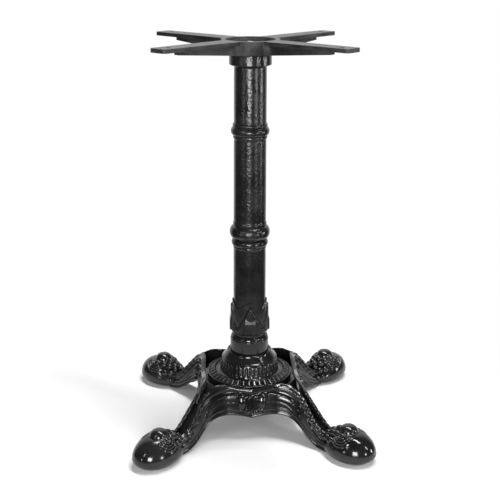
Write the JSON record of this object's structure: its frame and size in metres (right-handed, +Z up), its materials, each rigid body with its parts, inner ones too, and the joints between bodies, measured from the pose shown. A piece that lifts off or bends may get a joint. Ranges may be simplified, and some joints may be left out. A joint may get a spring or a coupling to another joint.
{
  "type": "table base",
  "caption": "Cast iron pedestal table base: ringed column on splayed, arched legs with paw feet, and a ribbed spider with screw holes that carries a table top.",
  "frame": {"origin": "on the floor, under the middle of the column", "axes": "+Z up the column, legs and spider arms on the diagonals between X and Y, one apron towards -Y"},
  "size_m": [0.4322, 0.4322, 0.72],
  "materials": {
    "base_enamel": "gloss black enamel",
    "column_enamel": "black enamel with orange peel",
    "spider_enamel": "satin black over rough casting",
    "zinc_steel": "zinc plated"
  },
  "bodies": {
    "root": {"base_casting": "base_enamel", "base_hub": "base_enamel", "neck_collar": "base_enamel", "column": "column_enamel", "spider": "spider_enamel", "tie_rod": "zinc_steel", "upper_nut": "zinc_steel", "upper_washer": "zinc_steel", "lower_nut": "zinc_steel", "lower_washer": "zinc_steel"}
  },
  "joints": []
}
